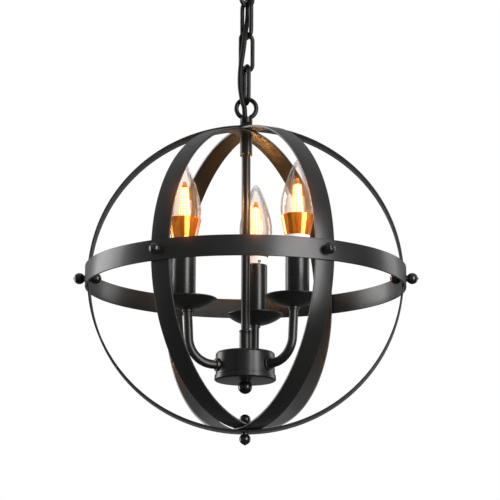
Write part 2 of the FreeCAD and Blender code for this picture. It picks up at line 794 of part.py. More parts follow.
def socket_bracket():
    # threaded ring on the pan's floor, a leg up its outer side, and the tab that carries the socket
    floor = pan_seat_z + pan_t
    tab_z = socket_foot_z - bracket_t
    ring_x = riser_x(floor + bracket_ring_h / 2)
    bore = arm_d + 2 * riser_clear
    ring = rod(bracket_ring_d, floor, floor + bracket_ring_h, ring_x)
    leg_x = ring_x + bore / 2
    leg = Part.makeBox(bracket_t, bracket_w, socket_foot_z - floor, Vector(leg_x, -bracket_w / 2, floor))
    tab = rod(bracket_tab_d, tab_z, socket_foot_z, candle_reach)
    bracket = ring.fuse(leg).fuse(tab).removeSplitter()
    return bracket.cut(rod(bore, floor - 1, floor + bracket_ring_h + 2, ring_x))


sleeve_edge = candle_reach - pan_reach + sleeve_d / 2        # pan centre to the sleeve's outermost edge
sleeve_foot_z = pan_centre_z - math.sqrt((pan_bowl_r - pan_t) ** 2 - sleeve_edge ** 2) + seat_gap


def candle_sleeve():
    low = pan_seat_z + pan_t + seat_gap
    tube = pipe(sleeve_d, sleeve_d - 2 * sleeve_t, low, sleeve_top_z, candle_reach)
    bowl = Part.makeSphere(pan_bowl_r - pan_t - seat_gap, Vector(pan_reach, 0, pan_centre_z))
    corner = Vector(candle_reach - sleeve_d, -sleeve_d, sleeve_foot_z)
    above = Part.makeBox(2 * sleeve_d, 2 * sleeve_d, sleeve_top_z - sleeve_foot_z + 1, corner)
    return tube.common(bowl.fuse(above))


def lamp_socket():
    top = sleeve_top_z - socket_sink
    floor = sleeve_top_z - base_l - contact_l
    shell_inner = base_d + 2 * bulb_gap
    shell_outer = shell_inner + 2 * socket_shell_t
    body = rod(socket_d, socket_foot_z, top, candle_reach)
    body = body.makeFillet(socket_edge_r, rims(body, top))
    body = body.cut(rod(shell_outer + 2 * strap_gap, floor, top + 1, candle_reach))
    shell = pipe(shell_outer, shell_inner, floor, top - socket_shell_sink, candle_reach)
    return group([body, shell])


# bulbs, drawn at the candle axis and turned to their places

def bulb_base():
    foot = sleeve_top_z + bulb_gap
    foot_r = collar_foot_d / 2
    collar = spin(outline([
        (0, foot), (foot_r - collar_edge, foot), (foot_r, foot + collar_edge),
        (collar_head_d / 2, collar_head_z), (0, collar_head_z)]))
    cap_foot = foot - base_l
    pitch_l = (base_l - 2 * base_plain_l) / base_crests
    crest_r, root_r = base_d / 2, base_d / 2 - base_crest_h
    crests = []
    for k in range(base_crests):
        low = cap_foot + base_plain_l + k * pitch_l
        crests += [(root_r, low), (crest_r, low + pitch_l / 3), (crest_r, low + 2 * pitch_l / 3)]
    cap = spin(outline([(0, cap_foot), (root_r - base_step, cap_foot)] + crests +
                       [(root_r, foot - base_plain_l), (root_r, foot), (0, foot)]))
    contact = rod(contact_d, cap_foot - contact_l, cap_foot)
    contact = contact.makeFillet(contact_l / 2, rims(contact, cap_foot - contact_l))
    return group([collar, cap, contact])


def bulb_heat_sink():
    foot_r, head_r = sink_foot_d / 2, sink_head_d / 2
    lid_foot = sink_head_z - sink_t
    return spin(outline([
        (foot_r - sink_t, collar_head_z), (foot_r, collar_head_z), (head_r, sink_head_z - sink_lip_h),
        (head_r - sink_lip_step, sink_head_z), (0, sink_head_z), (0, lid_foot),
        (head_r - sink_lip_step - sink_t, lid_foot)]))


def flame_profile(inset, tip_inset):
    # foot, sides and point of the flame, as a smooth outline from the foot up
    foot = Vector(glass_foot_d / 2 - inset, 0, sink_head_z)
    widths = [(flame_belly_d, flame_belly_h), (flame_side_d, flame_side_h),
              (flame_shoulder_d, flame_shoulder_h), (flame_neck_d, flame_neck_h),
              (flame_point_d, flame_point_h)]
    sides = [Vector(d / 2 - inset, 0, sink_head_z + h) for d, h in widths]
    tip = Vector(0, 0, sink_head_z + flame_tip_h - tip_inset)
    curve = Part.BSplineCurve()
    curve.interpolate(Points=[foot] + sides + [tip], InitialTangent=Vector(*flame_foot_tangent),
                      FinalTangent=Vector(*flame_tip_tangent))
    return curve.toShape(), foot, tip


def bulb_glass():
    outer, outer_foot, outer_tip = flame_profile(0, 0)
    inner, inner_foot, inner_tip = flame_profile(glass_t, glass_tip_t)
    return spin([outer, Part.makeLine(outer_tip, inner_tip), inner, Part.makeLine(inner_foot, outer_foot)])


def led_column():
    head = sink_head_z + led_h
    column = Part.makeCone(led_foot_d / 2, led_head_d / 2, led_h, Vector(0, 0, sink_head_z), up)
    cap = rod(led_cap_d, head, head + led_cap_h)
    cap = cap.makeFillet(led_cap_edge_r, rims(cap, head + led_cap_h))
    return group([column, cap])


def at_candle(shape):
    copy = shape.copy()
    copy.translate(Vector(candle_reach, 0, 0))
    return copy


def build():
    save(mounting_bar(), "mounting_bar")
    save(ceiling_nipple(), "ceiling_nipple")
    save(bar_locknuts(), "bar_locknuts")
    save(ground_screw(), "ground_screw")
    save(ceiling_canopy(), "ceiling_canopy")
    save(collar_nut(), "collar_nut")
    save(canopy_loop(), "canopy_loop")
    for number, (turn, z) in enumerate(zip(link_angles, link_zs), 1):
        save(chain_link(turn, z), "chain_link_%d" % number)
    for number, piece in enumerate(cord_pieces(), 1):
        save(piece, "supply_cord_%d" % number)
    save(fixture_loop(), "fixture_loop")
    save(equator_ring(), "equator_ring")
    for level in range(len(ring_angles)):
        save(vertical_ring(level), "vertical_ring_%d" % (level + 1))
    screws, nuts = ball_fasteners()
    save(screws, "ball_screws")
    save(nuts, "ball_nuts")
    save(stem_collar(), "stem_collar")
    save(stem_tube(), "stem_tube")
    save(stem_coupler(), "stem_coupler")
    save(threaded_nipples(), "threaded_nipples")
    save(hub_body(), "hub_body")
    save(hub_cover(), "hub_cover")
    save(hub_finial(), "hub_finial")
    save(hex_locknuts(), "hex_locknuts")
    save(hub_wire_nuts(), "hub_wire_nuts")

    singles = {"arm_tube": arm_tube, "drip_pan": drip_pan, "candle_sleeve": candle_sleeve,
               "lamp_socket": lamp_socket}
    bulbs = {"base": bulb_base, "heat_sink": bulb_heat_sink, "glass": bulb_glass, "led_column": led_column}
    grouped = {"arm_ferrules": arm_ferrule, "pan_nuts": pan_nut, "socket_brackets": socket_bracket,
               "arm_leads": arm_lead}
    turns = [arm_angle + k * 360.0 / arm_count for k in range(arm_count)]
    for name, make in singles.items():
        shape = lifted(make(), orb_z)
        for number, turn in enumerate(turns, 1):
            save(turned(shape, turn), "%s_%d" % (name, number))
    for name, make in bulbs.items():
        shape = lifted(at_candle(make()), orb_z)
        for number, turn in enumerate(turns, 1):
            save(turned(shape, turn), "bulb_%d_%s" % (number, name))
    for name, make in grouped.items():
        shape = lifted(make(), orb_z)
        save(group([turned(shape, turn) for turn in turns]), name)


print("orb centre", round(orb_z, 3), "links", [round(z, 3) for z in link_zs])
build()
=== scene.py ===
import json
import math

import bmesh
import bpy
from mathutils import Matrix, Vector

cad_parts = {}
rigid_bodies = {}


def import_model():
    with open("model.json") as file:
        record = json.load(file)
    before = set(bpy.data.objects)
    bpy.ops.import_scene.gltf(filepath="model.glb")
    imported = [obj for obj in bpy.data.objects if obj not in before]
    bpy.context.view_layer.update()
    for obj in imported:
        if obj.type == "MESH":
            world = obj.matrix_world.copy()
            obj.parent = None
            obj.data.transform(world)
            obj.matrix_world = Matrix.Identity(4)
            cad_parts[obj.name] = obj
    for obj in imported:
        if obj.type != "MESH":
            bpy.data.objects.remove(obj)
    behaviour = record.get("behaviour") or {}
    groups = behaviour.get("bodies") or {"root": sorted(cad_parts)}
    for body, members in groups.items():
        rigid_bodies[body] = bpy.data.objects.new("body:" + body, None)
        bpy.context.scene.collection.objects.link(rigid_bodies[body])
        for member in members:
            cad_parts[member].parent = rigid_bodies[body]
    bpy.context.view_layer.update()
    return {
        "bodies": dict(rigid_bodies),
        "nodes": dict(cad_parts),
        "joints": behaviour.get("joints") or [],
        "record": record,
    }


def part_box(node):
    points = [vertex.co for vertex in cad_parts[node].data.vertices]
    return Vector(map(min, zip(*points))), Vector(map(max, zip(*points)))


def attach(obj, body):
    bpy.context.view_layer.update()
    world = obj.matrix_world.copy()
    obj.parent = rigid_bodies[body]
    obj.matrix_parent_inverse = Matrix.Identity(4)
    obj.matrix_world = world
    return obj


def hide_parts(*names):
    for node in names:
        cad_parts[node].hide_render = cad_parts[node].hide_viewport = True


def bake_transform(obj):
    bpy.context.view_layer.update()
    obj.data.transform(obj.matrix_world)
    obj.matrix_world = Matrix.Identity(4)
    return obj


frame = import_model()
nodes = frame["nodes"]
mm = 0.001
fullTurn = 2 * math.pi


def mid(box):
    return (box[0] + box[1]) / 2


orb = mid(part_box("equator_ring"))          # centre of the cage
orbZ = orb.z / mm
print("frame loaded,", len(nodes), "nodes, orb centre", [round(c, 4) for c in orb])


def linked(name, data):
    made = bpy.data.objects.new(name, data)
    bpy.context.scene.collection.objects.link(made)
    return made


def direction(azimuth, elevation):
    # azimuth 0 is the camera's side, positive to its right
    a, e = math.radians(azimuth), math.radians(elevation)
    return Vector((math.sin(a) * math.cos(e), -math.cos(a) * math.cos(e), math.sin(e)))


# camera, where the photographer stood: a little below the cage, far off

photographer = {"azimuth": 1.304, "elevation": -11.54, "distance": 2.9899, "lens": 203.3,
                "sensor": 36.0, "near": 0.1, "far": 60, "roll": 0.247,
                "orbAcross": -0.00155, "orbBelow": 0.010126}


def makeCamera():
    back = direction(photographer["azimuth"], photographer["elevation"])
    right = (-back).cross(Vector((0, 0, 1))).normalized()
    above = right.cross(-back)
    roll = math.radians(photographer["roll"])
    right, above = (right * math.cos(roll) + above * math.sin(roll),
                    above * math.cos(roll) - right * math.sin(roll))
    # the orb's centre lies a little left of and below the middle of the picture
    ahead = (-back - right * photographer["orbAcross"]
             + above * photographer["orbBelow"]).normalized()
    right = ahead.cross(above).normalized()
    above = right.cross(ahead)
    data = bpy.data.cameras.new("photographer")
    data.lens = photographer["lens"]
    data.sensor_width = photographer["sensor"]
    data.clip_start, data.clip_end = photographer["near"], photographer["far"]
    camera = linked("photographer", data)
    matrix = Matrix((right, above, -ahead)).transposed().to_4x4()
    matrix.translation = orb + back * photographer["distance"]
    camera.matrix_world = matrix
    bpy.context.scene.camera = camera


makeCamera()
print("camera placed")


# nodes, for the finishes, the surroundings and the lens

class Wire:
    # one output of a node; sums on it add Math nodes

    def __init__(self, tree, socket):
        self.tree = tree
        self.socket = socket

    def maths(self, operation, first, second):
        return self.tree.add("ShaderNodeMath", {"operation": operation}, {0: first, 1: second})

    def __add__(self, other):
        return self.maths("ADD", self, other)

    def __radd__(self, other):
        return self.maths("ADD", other, self)

    def __sub__(self, other):
        return self.maths("SUBTRACT", self, other)

    def __rsub__(self, other):
        return self.maths("SUBTRACT", other, self)

    def __mul__(self, other):
        return self.maths("MULTIPLY", self, other)

    def __rmul__(self, other):
        return self.maths("MULTIPLY", other, self)


class Tree:
    # a node tree, filled one node at a time

    def __init__(self, tree):
        self.tree = tree
        self.tree.nodes.clear()

    def add(self, kind, settings=None, sockets=None, out=0):
        node = self.tree.nodes.new(kind)
        for key, value in (settings or {}).items():
            if key == "stops":
                ramp = node.color_ramp.elements
                while len(ramp) < len(value):
                    ramp.new(1.0)
                for element, (place, shade) in zip(ramp, value):
                    element.position = place
                    element.color = (shade, shade, shade, 1)
            else:
                setattr(node, key, value)
        for key, value in (sockets or {}).items():
            socket = node.inputs[key]
            if isinstance(value, Wire):
                self.tree.links.new(value.socket, socket)
            elif isinstance(value, tuple) and socket.type == "RGBA":
                socket.default_value = (*value, 1)
            else:
                socket.default_value = value
        return Wire(self, node.outputs[out]) if node.outputs else None


class Finish(Tree):
    # a material and its nodes

    def __init__(self, name):
        self.material = bpy.data.materials.new(name)
        self.material.use_nodes = True
        super().__init__(self.material.node_tree)

    def place(self):
        return self.add("ShaderNodeTexCoord", out="Object")

    def noise(self, scale, detail, stretch=None):
        at = self.place()
        if stretch:
            at = self.add("ShaderNodeVectorMath", {"operation": "MULTIPLY"}, {0: at, 1: stretch})
        return self.add("ShaderNodeTexNoise", {}, {"Vector": at, "Scale": scale, "Detail": detail})

    def ranged(self, value, low, high, most=1.0, kind="LINEAR"):
        return self.add("ShaderNodeMapRange", {"interpolation_type": kind},
                        {"Value": value, "From Min": low, "From Max": high, "To Max": most},
                        out="Result")

    def bump(self, height, strength, depth):
        return self.add("ShaderNodeBump", {},
                        {"Height": height, "Strength": strength, "Distance": depth})

    def blendOf(self, first, second, share):
        return self.add("ShaderNodeMix", {"data_type": "RGBA"},
                        {0: share, 6: first, 7: second}, out=2)

    def mixOf(self, first, second, share):
        return self.add("ShaderNodeMixShader", {}, {0: share, 1: first, 2: second})

    def end(self, shader):
        self.add("ShaderNodeOutputMaterial", {}, {"Surface": shader})
        return self.material

    def surface(self, **sockets):
        named = {key.replace("_", " "): value for key, value in sockets.items()}
        return self.end(self.add("ShaderNodeBsdfPrincipled", {}, named))


def scaled(colour, share):
    return tuple(c * share for c in colour)


enamel = {"tint": (0.0042, 0.0041, 0.0039), "paler": 1.9, "roughness": 0.33, "shine": 0.44,
          "ripple": 900, "grain": 2600, "cloud": 38, "cloudGloss": 0.14, "grainGloss": 0.05,
          "film": 0.05, "filmRoughness": 0.14, "bump": 0.13, "bumpDepth": 0.0001}


def satinBlackPaint(name, **changes):
    # sprayed enamel: faint orange peel, a fine grain, and a little uneven in gloss
    look = {**enamel, **changes}
    paint = Finish(name)
    ripple = paint.noise(look["ripple"], 2)
    grain = paint.noise(look["grain"], 1)
    cloud = paint.noise(look["cloud"], 3)
    colour = paint.blendOf(look["tint"], scaled(look["tint"], look["paler"]),
                           grain * 0.5 + cloud * 0.4)
    gloss = (look["roughness"] + (cloud - 0.5) * look["cloudGloss"]
             + (grain - 0.5) * look["grainGloss"])
    height = ripple * 0.75 + grain * 0.25
    return paint.surface(Base_Color=colour, Roughness=gloss, Specular_IOR_Level=look["shine"],
                         Coat_Weight=look["film"], Coat_Roughness=look["filmRoughness"],
                         Normal=paint.bump(height, look["bump"], look["bumpDepth"]))


plain = {"cloud": 120, "darker": 0.8, "uneven": 0.1}


def plainFinish(name, colour, roughness, metallic=0.0, shine=0.5):
    paint = Finish(name)
    cloud = paint.noise(plain["cloud"], 3)
    shaded = paint.blendOf(colour, scaled(colour, plain["darker"]), cloud)
    return paint.surface(Base_Color=shaded, Metallic=metallic, Specular_IOR_Level=shine,
                         Roughness=roughness + (cloud - 0.5) * plain["uneven"])


# painted reflection: the gold is blended from deep to bright in long upright streaks
gilding = {"deep": (0.74, 0.13, 0.004), "bright": (1.0, 0.33, 0.03), "metal": 0.86,
           "lines": 60, "lineStretch": (1.0, 1.0, 90.0), "lineGloss": 0.14,
           "paintedStreaks": 300, "streakStretch": (1.0, 1.0, 0.06), "streakGloss": 0.05,
           "streakLow": 0.38, "streakHigh": 0.62, "roughness": 0.2,
           "film": 0.5, "filmRoughness": 0.1, "bump": 0.12, "bumpDepth": 0.00006}


def goldFinish():
    # anodised aluminium: long upright streaks painted a little lighter or darker, a painted
    # reflection of the room in its flats; fine turning lines, a clear film
    gold = Finish("goldAnodised")
    lines = gold.noise(gilding["lines"], 2, gilding["lineStretch"])
    # painted reflection: upright streaks of lighter and darker gold in the base colour stand in for
    # the room seen in the flats
    paintedStreaks = gold.noise(gilding["paintedStreaks"], 1, gilding["streakStretch"])
    share = gold.ranged(paintedStreaks, gilding["streakLow"], gilding["streakHigh"])
    gloss = (gilding["roughness"] + (lines - 0.5) * gilding["lineGloss"]
             - share * gilding["streakGloss"])
    return gold.surface(Base_Color=gold.blendOf(gilding["deep"], gilding["bright"], share),
                        Metallic=gilding["metal"], Roughness=gloss,
                        Coat_Weight=gilding["film"], Coat_Roughness=gilding["filmRoughness"],
                        Normal=gold.bump(lines, gilding["bump"], gilding["bumpDepth"]))


flameGlass = {"clear": (0.99, 0.98, 0.965), "edge": (0.62, 0.56, 0.5), "edgeShare": 0.6,
              "index": 1.45, "shine": (0.9, 0.9, 0.9), "shineRoughness": 0.02, "shineShare": 0.55,
              "warm": (1.0, 0.5, 0.2), "warmth": 0.62, "warmShare": 0.12,
              "warmTop": 0.116, "warmFoot": 0.062, "wave": 95}


def glassFinish():
    # thin blown glass: clear face on, a grey line where it turns away, and sharp reflections
    glass = Finish("clearGlass")
    facing = glass.add("ShaderNodeLayerWeight", {}, {"Blend": 0.5}, out="Facing")
    fresnel = glass.add("ShaderNodeFresnel", {}, {"IOR": flameGlass["index"]})
    clear = glass.add("ShaderNodeBsdfTransparent", {}, {"Color": flameGlass["clear"]})
    edge = glass.add("ShaderNodeBsdfTransparent", {}, {"Color": flameGlass["edge"]})
    shine = glass.add("ShaderNodeBsdfGlossy", {}, {"Color": flameGlass["shine"],
                                                   "Roughness": flameGlass["shineRoughness"]})
    # light from the guide caught in the glass, most of it low down
    warm = glass.add("ShaderNodeEmission", {}, {"Color": flameGlass["warm"],
                                                "Strength": flameGlass["warmth"]})
    wave = glass.noise(flameGlass["wave"], 2)
    height = glass.add("ShaderNodeSeparateXYZ", {}, {0: glass.place()}, out="Z")
    low = glass.ranged(height, orb.z + flameGlass["warmTop"], orb.z + flameGlass["warmFoot"],
                       flameGlass["warmShare"], "SMOOTHSTEP")
    steep = facing * facing * facing * facing
    body = glass.mixOf(clear, edge, steep * flameGlass["edgeShare"])
    lit = glass.mixOf(body, warm, low * (wave + 0.5))
    return glass.end(glass.mixOf(lit, shine, fresnel * flameGlass["shineShare"]))


guide = {"skin": (0.5, 0.16, 0.01), "skinRoughness": 0.4, "between": (0.85, 0.4, 0.03),
         "dot": (1.0, 0.6, 0.08), "glow": 0.9, "clear": (1.0, 0.97, 0.9), "scatter": 0.15,
         "dotEdge": 0.46, "dotMiddle": 0.24, "share": 0.18, "dotShare": 0.68,
         "cloud": 260, "cloudShare": 0.08}


def ledShellFinish():
    # the light guide's skin: amber, let through in part, with rows of brighter dots
    led = Finish("ledShell")
    tint = led.noise(guide["cloud"], 2)
    place = led.add("ShaderNodeUVMap", {"uv_map": "wrap"})
    dots = led.add("ShaderNodeTexVoronoi", {"voronoi_dimensions": "2D"},
                   {"Vector": place, "Scale": 1.0, "Randomness": guide["scatter"]}, out="Distance")
    spot = led.ranged(dots, guide["dotEdge"], guide["dotMiddle"], kind="SMOOTHSTEP")
    glow = led.add("ShaderNodeBsdfPrincipled", {},
                   {"Base Color": guide["skin"], "Roughness": guide["skinRoughness"],
                    "Emission Color": led.blendOf(guide["between"], guide["dot"], spot),
                    "Emission Strength": guide["glow"]})
    through = led.add("ShaderNodeBsdfTransparent", {}, {"Color": guide["clear"]})
    share = guide["share"] + spot * guide["dotShare"] + tint * guide["cloudShare"]
    return led.end(led.mixOf(through, glow, share))


glowing = {"cloud": 420, "darker": 0.55, "roughness": 0.35}


def glowFinish(name, colour, strength):
    led = Finish(name)
    cloud = led.noise(glowing["cloud"], 2)
    shade = led.blendOf(colour, scaled(colour, glowing["darker"]), cloud)
    return led.surface(Base_Color=colour, Roughness=glowing["roughness"], Emission_Color=shade,
                       Emission_Strength=strength)


finishes = {
    "satin_black_paint": satinBlackPaint("satinBlackPaint"),
    "zinc_steel": plainFinish("zincSteel", (0.6, 0.6, 0.62), 0.35, 1.0),
    "brass_plate": plainFinish("brassPlate", (0.78, 0.58, 0.27), 0.3, 1.0),
    "gold_anodised": goldFinish(),
    "white_plastic": plainFinish("whitePlastic", (0.85, 0.84, 0.82), 0.4),
    "socket_plastic": plainFinish("socketPlastic", (0.02, 0.02, 0.02), 0.4),
    "connector_plastic": plainFinish("connectorPlastic", (0.8, 0.3, 0.05), 0.4),
    "cord_jacket": plainFinish("cordJacket", (0.003, 0.003, 0.003), 0.5, shine=0.2),
    "gloss_black": satinBlackPaint("glossBlackPaint", roughness=0.16),
    "chain_black": satinBlackPaint("chainBlackPaint", roughness=0.3, tint=(0.002, 0.002, 0.002),
                                   shine=0.22),
    "sleeve_black": satinBlackPaint("sleeveBlackPaint", roughness=0.28),
    "nickel_cap": plainFinish("nickelCap", (0.7, 0.66, 0.6), 0.3, 1.0),
    "clear_glass": glassFinish(),
    "led_phosphor": ledShellFinish(),
    "led_core": glowFinish("ledCore", (1.0, 0.95, 0.78), 2.4),
    "led_cap": glowFinish("ledCap", (0.3, 0.1, 0.015), 0.16),
}
slotOf = {part["node"]: part["material_slot"] for part in frame["record"]["subparts"]}
slotOf["fixture_loop"] = slotOf["canopy_loop"] = "chain_black"
for name, node in nodes.items():
    node.data.materials.clear()
    node.data.materials.append(finishes[slotOf[name]])
print("finishes made")


# mesh helpers; pieces are drawn in millimetres, in the row frame

class Shape:
    # points and faces of a piece under construction, each face with the number of its finish

    def __init__(self):
        self.points, self.faces, self.finishOf = [], [], []

    def join(self, other, matrix=None):
        start = len(self.points)
        self.points += [matrix @ p if matrix else p.copy() for p in other.points]
        self.faces += [[start + i for i in face] for face in other.faces]
        self.finishOf += other.finishOf
        return self

    def moved(self, *matrices):
        made = self
        for matrix in matrices:
            made = Shape().join(made, matrix)
        return made


def spun(outline, steps, finish=0, radiusAt=None, heightAt=None):
    # a closed outline of (radius, height) points turned round Z
    shape = Shape()
    rows = []
    for radius, height in outline:
        start = len(shape.points)
        if radius < 1e-5:
            rows.append([start])
            shape.points.append(Vector((0, 0, height)))
            continue
        rows.append(range(start, start + steps))
        for k in range(steps):
            angle = fullTurn * k / steps
            r = radiusAt(angle, radius, height) if radiusAt else radius
            z = heightAt(angle, radius, height) if heightAt else height
            shape.points.append(Vector((r * math.cos(angle), r * math.sin(angle), z)))
    for row, following in zip(rows, rows[1:] + rows[:1]):
        for k in range(steps):
            face = [row[k % len(row)], row[(k + 1) % len(row)],
                    following[(k + 1) % len(following)], following[k % len(following)]]
            face = list(dict.fromkeys(face))
            if len(face) > 2:
                shape.faces.append(face)
    shape.finishOf = [finish] * len(shape.faces)
    return shape


def rounded(corners, steps):
    # an outline through (radius, height, fillet) corners, with an arc at each that has a fillet
    outline = []
    for k, corner in enumerate(corners):
        here = Vector(corner[:2])
        fillet = corner[2] if len(corner) > 2 else 0
        if not fillet:
            outline.append(tuple(here))
            continue
        before = Vector(corners[k - 1][:2]) - here
        after = Vector(corners[(k + 1) % len(corners)][:2]) - here
        half = before.angle(after) / 2
        # an arc takes less than half of either side, so that two arcs never meet
        cut = min(fillet / math.tan(half), before.length * 0.49, after.length * 0.49)
        radius = cut * math.tan(half)
        bisector = (before.normalized() + after.normalized()).normalized()
        centre = here + bisector * (radius / math.sin(half))
        first = here + before.normalized() * cut - centre
        last = here + after.normalized() * cut - centre
        for step in range(steps + 1):
            share = step / steps
            blended = first * (1 - share) + last * share
            outline.append(tuple(centre + blended.normalized() * radius))
    return outline


def swept(path, section, closed=True):
    # path holds (centre, across, outward) triples; section holds (across, outward) distances
    shape = Shape()
    size, rows = len(section), len(path)
    for centre, across, outward in path:
        shape.points += [centre + across * a + outward * b for a, b in section]
    for row in range(rows if closed else rows - 1):
        for k in range(size):
            a, b = row * size, (row + 1) % rows * size
            shape.faces.append([a + k, a + (k + 1) % size, b + (k + 1) % size, b + k])
    if not closed:
        shape.faces.append(list(range(size))[::-1])
        shape.faces.append([(rows - 1) * size + k for k in range(size)])
    shape.finishOf = [0] * len(shape.faces)
    return shape


def circle(radius, sides):
    return [(radius * math.cos(fullTurn * k / sides), radius * math.sin(fullTurn * k / sides))
            for k in range(sides)]


def carried(points, across, closed=False):
    # a frame at each point of a line, carried along it without twist
    count = len(points)
    frames = []
    for k, point in enumerate(points):
        ahead = points[(k + 1) % count] if closed or k < count - 1 else point
        behind = points[k - 1] if closed or k > 0 else point
        along = (ahead - behind).normalized()
        across = (across - along * across.dot(along)).normalized()
        frames.append((point, across, along.cross(across)))
    return frames


def piece(name, shape, slots, body, *replaced, sharp=32):
    # makes the mesh, gives it its finishes, and lets it stand for the CAD nodes that it replaces
    mesh = bpy.data.meshes.new(name)
    mesh.from_pydata([tuple(p * mm) for p in shape.points], [], shape.faces)
    slots = [slots] if isinstance(slots, str) else slots
    for slot in slots:
        mesh.materials.append(finishes[slot])
    mesh.polygons.foreach_set("material_index", shape.finishOf)
    work = bmesh.new()
    work.from_mesh(mesh)
    bmesh.ops.remove_doubles(work, verts=work.verts, dist=1e-7)
    bmesh.ops.recalc_face_normals(work, faces=work.faces)
    work.to_mesh(mesh)
    work.free()
    mesh.shade_smooth()
    mesh.set_sharp_from_angle(angle=math.radians(sharp))
    made = linked(name, mesh)
    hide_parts(*replaced)
    if body:
        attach(made, body)
    return made


def turnTo(azimuth):
    return Matrix.Rotation(math.radians(azimuth), 4, "Z")


def shifted(x=0.0, z=0.0):
    return Matrix.Translation((x, 0.0, z))


layAlongX = Matrix.Rotation(math.radians(90), 4, "Y")
upsideDown = Matrix.Rotation(math.radians(180), 4, "X")
atOrb = shifted(z=orbZ)


def fixedPiece(name, shape, node, slots="satin_black_paint"):
    # a piece of the hanging fixture, drawn round the orb's centre
    piece(name, shape.moved(atOrb), slots, "fixture", node)


# supply cord, in five lengths that each bend over one joint of the chain

cordSettings = {"diameter": 5.4, "sides": 20, "bend": 9.0, "smoothness": 24, "closest": 0.3,
                "route": [(0, 0, -3.1), (0, 0, -48.55), (-0.6, -8.9, -61.15), (-0.1, -8.1, -79.25),
                          (1.0, 9.5, -96.15), (0.7, 8.5, -117.15), (-1.1, -9.5, -131.55),
                          (-3.3, -9.4, -154.05), (-6.1, -10.0, -171.15), (-7.0, -9.0, -191.65),
                          (-4.4, -7.0, -208.75), (0, 0, -221.65), (0, 0, -490.35)]}


def splineLine(points):
    # the smooth NURBS line that has these control points
    curve = bpy.data.curves.new("line", "CURVE")
    curve.dimensions = "3D"
    spline = curve.splines.new("NURBS")
    spline.points.add(len(points) - 1)
    for control, point in zip(spline.points, points):
        control.co = (*point, 1)
    spline.order_u = 3
    spline.use_endpoint_u = True
    spline.resolution_u = cordSettings["smoothness"]
    holder = linked("line", curve)
    bpy.context.view_layer.update()
    settled = holder.evaluated_get(bpy.context.evaluated_depsgraph_get())
    mesh = bpy.data.meshes.new_from_object(settled)
    line = [v.co.copy() for v in mesh.vertices]
    bpy.data.objects.remove(holder)
    bpy.data.curves.remove(curve)
    bpy.data.meshes.remove(mesh)
    return line


def between(line, low, high):
    # the part of a falling line between two heights, cut at them, its points not too close
    kept = [line[0]] if low <= line[0].z <= high else []
    for a, b in zip(line, line[1:]):
        for level in (high, low):
            if a.z > level > b.z:
                kept.append(a.lerp(b, (a.z - level) / (a.z - b.z)))
        if low <= b.z <= high:
            kept.append(b)
    thinned = [kept[0]]
    for point in kept[1:-1]:
        if min((point - end).length for end in (thinned[-1], kept[-1])) > cordSettings["closest"]:
            thinned.append(point)
    return thinned + [kept[-1]]


def makeCord():
    line = splineLine([Vector(point) for point in cordSettings["route"]])
    length = sum((b - a).length for a, b in zip(line, line[1:]))
    print("cord line", round(length, 1), "mm long")
    swings = [joint for joint in frame["joints"] if joint["type"] == "hinge"]
    section = circle(cordSettings["diameter"] / 2, cordSettings["sides"])
    across = Vector((1, 0, 0))
    for number, swing in enumerate(swings, 1):
        node = "supply_cord_%d" % number
        low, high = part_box(node)
        run = carried(between(line, low.z / mm, high.z / mm), across)
        across = run[-1][1]
        cord = piece("supplyCord%d" % number, swept(run, section, closed=False), "cord_jacket",
                     None, node)
        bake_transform(cord)


makeCord()
print("cord made")


# cage bands

band = {"width": 21.4, "thick": 2.3, "edge": 0.4, "equator": 169.985, "gap": 0.05,
        "poleHeight": 165.2, "azimuths": (0.0, 120.0, 60.0), "steps": 320}
band["inside"] = band["equator"] - band["thick"]
band["reach"] = math.sqrt(band["inside"] ** 2 - (band["width"] / 2) ** 2) - band["gap"]
band["nest"] = band["thick"] + band["width"] ** 2 / (4 * 2 * band["equator"]) + band["gap"]


def strapSection():
    half, thick, edge = band["width"] / 2, band["thick"] / 2, band["edge"]
    return rounded([(-half, -thick, edge), (half, -thick, edge), (half, thick, edge),
                    (-half, thick, edge)], 3)


def makeEquator():
    middle = band["equator"] - band["thick"] / 2
    path = []
    for k in range(band["steps"]):
        angle = fullTurn * k / band["steps"]
        outward = Vector((math.cos(angle), math.sin(angle), 0))
        path.append((outward * middle, Vector((0, 0, 1)), outward))
    fixedPiece("equatorBand", swept(path, strapSection()), "equator_ring")


def makeRing(level, azimuth):
    # each ring passes inside the one before it, at both poles
    a = band["reach"] - band["thick"] / 2
    b = band["poleHeight"] - level * band["nest"] - band["thick"] / 2
    path = []
    for k in range(band["steps"]):
        angle = fullTurn * k / band["steps"]
        outward = Vector((math.cos(angle) / a, 0, math.sin(angle) / b)).normalized()
        centre = Vector((a * math.cos(angle), 0, b * math.sin(angle)))
        path.append((centre, Vector((0, 1, 0)), outward))
    ring = swept(path, strapSection()).moved(turnTo(azimuth))
    fixedPiece("cageRing%d" % (level + 1), ring, "vertical_ring_%d" % (level + 1))


makeEquator()
for level, azimuth in enumerate(band["azimuths"]):
    makeRing(level, azimuth)
print("cage bands made")


# ball screws outside the bands, ball nuts inside

ball = {"radius": 6.0, "rise": 6.2, "neck": 3.4, "flare": 0.35, "tip": 2.2, "tipEnd": 0.6,
        "tipLength": 1.2, "tipSink": 0.5, "shank": 2.0, "shankLength": 8.0, "steps": 48,
        "arcs": 22, "nutBack": 0.08, "around": 6}


